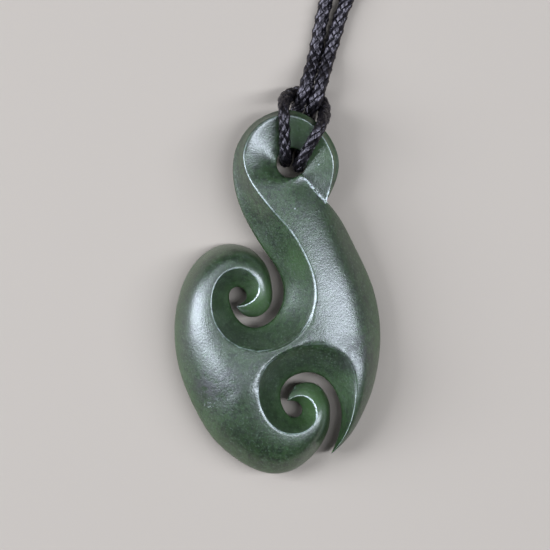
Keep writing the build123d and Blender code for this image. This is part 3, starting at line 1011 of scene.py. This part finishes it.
class Route:
    """A smooth line through space, read from a NURBS spline, with a steady sideways direction."""

    same_point: ClassVar[float] = 1e-7
    no_turn: ClassVar[float] = 1e-18

    def __init__(self, name: str, points: Sequence[Place], resolution: int = 24) -> None:
        """Draw the spline and read its line.

        Args:
            name: Name for the drawing, which is deleted again.
            points: The spline's control points.
            resolution: Steps from one control point to the next.
        """
        drawing = bpy.data.curves.new(name, "CURVE")
        drawing.dimensions = "3D"
        spline = drawing.splines.new("NURBS")
        spline.points.add(len(points) - 1)
        for corner, place in zip(spline.points, points):
            corner.co = (*place, 1.0)
        spline.order_u = 3
        spline.use_endpoint_u = True
        spline.resolution_u = resolution
        sketch = bpy.data.objects.new(name, drawing)
        bpy.context.scene.collection.objects.link(sketch)
        bpy.context.view_layer.update()
        line = bpy.data.meshes.new_from_object(sketch)
        self.line = corners_of(line)
        bpy.data.objects.remove(sketch)
        bpy.data.curves.remove(drawing)
        bpy.data.meshes.remove(line)
        self.line = self.line[np.concatenate(([True], self._steps() > self.same_point))]
        self.along = np.concatenate(([0.0], np.cumsum(self._steps())))

    def _steps(self) -> np.ndarray:
        """Distance from each point of the line to the next."""
        return np.linalg.norm(np.diff(self.line, axis=0), axis=1)

    @property
    def length(self) -> float:
        """Length of the line."""
        return float(self.along[-1])

    def frames(self, stations: np.ndarray) -> tuple[np.ndarray, np.ndarray, np.ndarray]:
        """Places and two sideways directions that don't spin round the line.

        Args:
            stations: Distances along the line.

        Returns:
            Places, and two unit directions square to the line, one row for each station.
        """
        places = np.column_stack([np.interp(stations, self.along, axis) for axis in self.line.T])
        heading = np.gradient(places, stations, axis=0)
        heading /= np.linalg.norm(heading, axis=1)[:, None]
        side = np.empty_like(heading)
        side[0] = np.cross(heading[0], (0, 0, 1))
        side[0] /= np.linalg.norm(side[0])
        for i in range(1, len(stations)):
            step = places[i] - places[i - 1]
            reach = step @ step
            mirrored = side[i - 1] - 2 * (step @ side[i - 1]) / reach * step
            turned = heading[i - 1] - 2 * (step @ heading[i - 1]) / reach * step
            change = heading[i] - turned
            size = change @ change
            side[i] = mirrored - (2 * (change @ mirrored) / size * change if size > self.no_turn else 0)
            side[i] /= np.linalg.norm(side[i])
        return places, side, np.cross(heading, side)


@dataclass
class RoundBraid:
    """Eight flat carriers that wind both ways round a line, each over one and under one."""

    diameter: float = 1.8 * MM
    carriers: int = 8
    lay: float = 7.9 * MM
    thickness: float = 0.22 * MM
    dip: float = 0.12 * MM
    squareness: float = 1.6
    crown: float = 0.15 * MM
    crown_power: float = 2.4
    cover: float = 0.96
    top: tuple[float, ...] = (-1.0, -0.72, 0.0, 0.72, 1.0)
    under: tuple[float, ...] = (0.7, 0.0, -0.7)
    apart_on_map: int = 3
    relaxed: float = 1.17
    least_relaxed: float = 0.5
    pressed_from: float = 4.6 * MM
    pressed_fade: float = 1.2 * MM
    free_from: float = 34.3 * MM
    free_fade: float = 1.5 * MM

    def dressed(
        self, name: str, route: Route, stations: np.ndarray, material: bpy.types.Material, node: str
    ) -> list[bpy.types.Object]:
        """Make and dress the carriers of both hands.

        Args:
            name: Start of the pieces' names.
            route: The line that the cord follows.
            stations: Where its rings lie, as distances along the line.
            material: The waxed fibre.
            node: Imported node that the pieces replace.

        Returns:
            One piece for each hand.
        """
        pieces = []
        for hand in Hand:
            piece = self._carriers(f"{name}_{hand.name.lower()}_hand", route, stations, hand)
            finish_piece(piece, material, node)
            pieces.append(piece)
        return pieces

    def _carriers(self, name: str, route: Route, stations: np.ndarray, hand: Hand) -> bpy.types.Object:
        """Make the carriers that wind one way.

        Args:
            name: The piece's name.
            route: The line that the cord follows.
            stations: Where its rings lie, as distances along the line.
            hand: Which way these carriers wind.

        Returns:
            One object that holds them.
        """
        frames = route.frames(stations)
        rings, sides = len(stations), len(self.top) + len(self.under)
        corners, faces, unwrapped = [], [], []
        for number in range(self.carriers // 2):
            corners.append(self._tube(frames, stations, hand, number))
            numbers = number * rings * sides + np.arange(rings * sides).reshape(rings, sides)
            following = np.roll(numbers, -1, axis=1)
            quads = np.stack((numbers[:-1], following[:-1], following[1:], numbers[1:]), axis=-1)
            faces += quads.reshape(-1, 4).tolist()
            faces.append(numbers[0, ::-1].tolist())
            faces.append(numbers[-1].tolist())
            unwrapped.append(self._unwrap(stations, number))
        mesh = bpy.data.meshes.new(name)
        mesh.from_pydata(np.concatenate(corners).tolist(), [], faces)
        fibres = mesh.uv_layers.new(name="fibres")
        fibres.data.foreach_set("uv", np.concatenate(unwrapped).ravel())
        mesh.shade_smooth()
        return link_mesh(name, mesh)

    def _tube(
        self, frames: Sequence[np.ndarray], stations: np.ndarray, hand: Hand, number: int
    ) -> np.ndarray:
        """Corners of one carrier, ring after ring. It is wider sideways where the cord lies loose.

        Args:
            frames: Points of the cord's line, and the two directions square to it at each.
            stations: Distances of the points along the line.
            hand: Which way the carrier winds.
            number: Which of the carriers of its hand it is.

        Returns:
            One row for each corner.
        """
        places, side, lift = frames
        pitch = 4 * math.pi / self.carriers
        across = np.array(self.top + self.under)[None, :]
        off = across * pitch / 2 * self.cover
        turned = (hand.value * 2 * math.pi * stations / self.lay)[:, None]
        angle = turned + number * pitch + off
        phase = self.carriers * math.pi * stations / self.lay
        wave = hand.value * np.cos(phase[:, None] + hand.value * self.carriers / 4 * off)
        wave = np.tanh(self.squareness * wave) / math.tanh(self.squareness)
        depth = self.dip * (1 - wave)
        is_top = np.arange(across.size) < len(self.top)
        rounded = self.crown * np.abs(across) ** self.crown_power
        depth = depth + np.where(is_top, rounded, self.thickness)
        low = np.clip((self.pressed_from - places[:, 2]) / self.pressed_fade + 1, 0, 1)
        free = low * np.clip((places[:, 1] - self.free_from) / self.free_fade, self.least_relaxed, 1)
        out = np.cos(angle)[..., None] * side[:, None] + np.sin(angle)[..., None] * lift[:, None]
        out[..., :2] *= (1 + (self.relaxed - 1) * free)[:, None, None]
        return (places[:, None] + (self.diameter / 2 - depth)[..., None] * out).reshape(-1, 3)

    def _unwrap(self, stations: np.ndarray, number: int) -> np.ndarray:
        """UV places of one carrier's corners, face by face.

        Args:
            stations: Distances along the line.
            number: Which of the carriers of its hand it is.

        Returns:
            One row for each corner of each face: place round the carrier, millimetres along it.
        """
        rings, sides = len(stations), len(self.top) + len(self.under)
        girth = np.arange(sides + 1) / sides + self.apart_on_map * number
        along = stations / MM
        shape = (rings - 1, sides)
        near, far = (np.broadcast_to(ends[:, None], shape) for ends in (along[:-1], along[1:]))
        left, right = (np.broadcast_to(ends, shape) for ends in (girth[:-1], girth[1:]))
        u = np.stack((left, right, right, left), axis=-1)
        v = np.stack((near, near, far, far), axis=-1)
        body = np.stack((u, v), axis=-1).reshape(-1, 2)
        caps = [np.column_stack((girth[:-1], np.full(sides, end))) for end in (along[0], along[-1])]
        return np.concatenate([body, *caps])


@dataclass
class NeckCord:
    """The braided cord of the whole necklace, with the lark's head at the pendant."""

    node: str = "neck_cord"
    knot_node: str = "closure_knot"
    braid: RoundBraid = field(default_factory=RoundBraid)
    tuck: float = 1.5 * MM
    close_step: float = 0.19 * MM
    far_step: float = 0.46 * MM
    close_reach: float = 50 * MM
    close_to: Place = (0.0020, 0.0276, 0.003)
    path: list[Place] = field(default_factory=list)
    length: float = 0.0

    def build(self, material: bpy.types.Material) -> list[bpy.types.Object]:
        """Model and dress the cord.

        Args:
            material: The waxed fibre.

        Returns:
            Its two pieces, one for each hand of the braid.
        """
        route = Route("neck_cord_line", self._points())
        log.info("neck cord: %.4f m long", route.length)
        self.path = [tuple(point) for point in route.line]
        self.length = route.length
        return self.braid.dressed("neck_cord", route, self._stations(route), material, self.node)

    def _points(self) -> list[Place]:
        """The route, with an end tucked into the closure knot at each side.

        Returns:
            Its control points.
        """
        low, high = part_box(self.knot_node)
        centre = (low + high) / 2
        return [*self._knot_end(centre, -1), *NECK_CORD, *self._knot_end(centre, 1)[::-1]]

    def _knot_end(self, centre: Vector, sign: int) -> list[Place]:
        """Two points in line with the knot: one inside it and one at its face.

        Args:
            centre: Middle of the knot.
            sign: -1 for the end where the route starts, 1 for its other end.

        Returns:
            The points, from inside to outside.
        """
        axis = ClosureKnot.axis()
        half = ClosureKnot.turns * self.braid.diameter / 2
        return [tuple(centre + sign * axis * (half - self.tuck)), tuple(centre + sign * axis * half)]

    def _stations(self, route: Route) -> np.ndarray:
        """Where the braid's rings lie: close together near the pendant.

        Args:
            route: The cord's line.

        Returns:
            Distances along the line.
        """
        far = np.linalg.norm(route.line - np.array(self.close_to), axis=1) > self.close_reach
        step = np.where(far, self.far_step, self.close_step)
        count = np.concatenate(([0.0], np.cumsum(np.diff(route.along) / step[1:])))
        return np.interp(np.linspace(0, count[-1], int(count[-1]) + 1), count, route.along)


@dataclass
class ClosureKnot:
    """The wound knot that closes the neck cord."""

    node: str = "closure_knot"
    braid: RoundBraid = field(default_factory=RoundBraid)
    turn: ClassVar[float] = math.radians(-20)
    turns: ClassVar[int] = 5
    points_per_turn: int = 12
    step: float = 0.2 * MM

    @classmethod
    def axis(cls) -> Vector:
        """Direction of the line that the knot is wound round."""
        return Vector((math.cos(cls.turn), math.sin(cls.turn), 0))

    def build(self, material: bpy.types.Material) -> list[bpy.types.Object]:
        """Model and dress the knot.

        Args:
            material: The waxed fibre.

        Returns:
            Its two pieces, one for each hand of the braid.
        """
        low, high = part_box(self.node)
        centre = (low + high) / 2
        coil = (high.z - low.z) / 2 - self.braid.diameter / 2
        axis = self.axis()
        across = Vector((-axis.y, axis.x, 0))
        points = []
        for i in range((self.turns - 1) * self.points_per_turn + self.points_per_turn // 2):
            wound = i / self.points_per_turn
            angle = 2 * math.pi * wound
            shift = (wound - (self.turns - 0.5) / 2) * self.braid.diameter
            out = across * math.cos(angle) + Vector((0, 0, 1)) * math.sin(angle)
            points.append(tuple(centre + axis * shift + out * coil))
        route = Route("closure_knot_line", points)
        stations = np.linspace(0, route.length, int(route.length / self.step))
        return self.braid.dressed("closure_knot", route, stations, material, self.node)


# The studio


@dataclass(frozen=True)
class Softbox:
    """A studio lamp with a wide diffuser."""

    name: str
    place: Place
    size: tuple[float, float]
    power: float
    turn: float = 0.0
    aim: Place = (0, 0.01, 0)
    tint: Colour = (0.88, 0.97, 1.12)

    def hang(self) -> None:
        """Hang the lamp and turn it to what it lights."""
        bpy.ops.object.light_add(type="AREA", location=self.place)
        lamp = bpy.context.object
        lamp.name = self.name
        lamp.data.shape = "RECTANGLE"
        lamp.data.size, lamp.data.size_y = self.size
        lamp.data.energy = self.power
        lamp.data.color = self.tint
        aim = (Vector(self.aim) - Vector(self.place)).to_track_quat("-Z", "Y")
        lamp.rotation_euler = (aim @ Quaternion((0, 0, 1), self.turn)).to_euler()
        lamp.visible_camera = False


@dataclass
class Studio:
    """Floor, light and camera."""

    centre: Place = (-0.00034, 0.01157, 0.006)
    view_width: float = 78.2 * MM
    camera_height: float = 0.60
    sensor: float = 36.0
    floor_side: float = 16.0
    floor_drop: float = 0.03 * MM
    nearest_seen: float = 0.01
    sky: Colour = (0.75, 0.80, 0.88)
    sky_strength: float = 0.06
    lamps: tuple[Softbox, ...] = (
        Softbox("softbox_left", (-0.73, 0.07, 0.52), (0.46, 0.74), 12.4),
        Softbox("softbox_left_top", (-0.34, 0.26, 0.80), (0.30, 0.26), 0.8),
        Softbox("softbox_right", (0.50, -0.022, 0.74), (0.18, 0.91), 9.5, 0.25),
        Softbox("softbox_top", (-0.15, 0.50, 0.75), (0.50, 0.40), 1.0),
    )

    def build(self) -> None:
        """Set up the studio."""
        bpy.ops.mesh.primitive_plane_add(size=self.floor_side, location=(0, 0, -self.floor_drop))
        floor = bpy.context.object
        floor.name = "studio_floor"
        bpy.ops.object.transform_apply()
        floor.data.materials.append(PaperFinish().material())
        for lamp in self.lamps:
            lamp.hang()
        self._light_sky()
        self._mount_camera()

    def _light_sky(self) -> None:
        """Fill the studio with a weak even light."""
        world = bpy.data.worlds.new("studio_air")
        world.use_nodes = True
        backdrop = world.node_tree.nodes["Background"]
        backdrop.inputs["Color"].default_value = (*self.sky, 1.0)
        backdrop.inputs["Strength"].default_value = self.sky_strength
        bpy.context.scene.world = world

    def _mount_camera(self) -> None:
        """Hang the camera over the pendant."""
        x, y, z = self.centre
        bpy.ops.object.camera_add(location=(x, y, self.camera_height), rotation=(0, 0, 0))
        camera = bpy.context.object
        camera.name = "photo_camera"
        camera.data.sensor_width = self.sensor
        camera.data.lens = self.sensor * (self.camera_height - z) / self.view_width
        camera.data.clip_start = self.nearest_seen
        bpy.context.scene.camera = camera


def main() -> None:
    """Build the necklace and its studio."""
    logging.basicConfig(level=logging.INFO, format="%(message)s")
    bpy.ops.object.select_all(action="DESELECT")
    Studio().build()
    fibre = WaxedBraidFinish().material()
    cord = NeckCord()
    strands = cord.build(fibre)
    knot = ClosureKnot().build(fibre)
    CarvedStone().build()
    bpy.context.scene.view_settings.view_transform = "Standard"


if __name__ == "__main__":
    main()
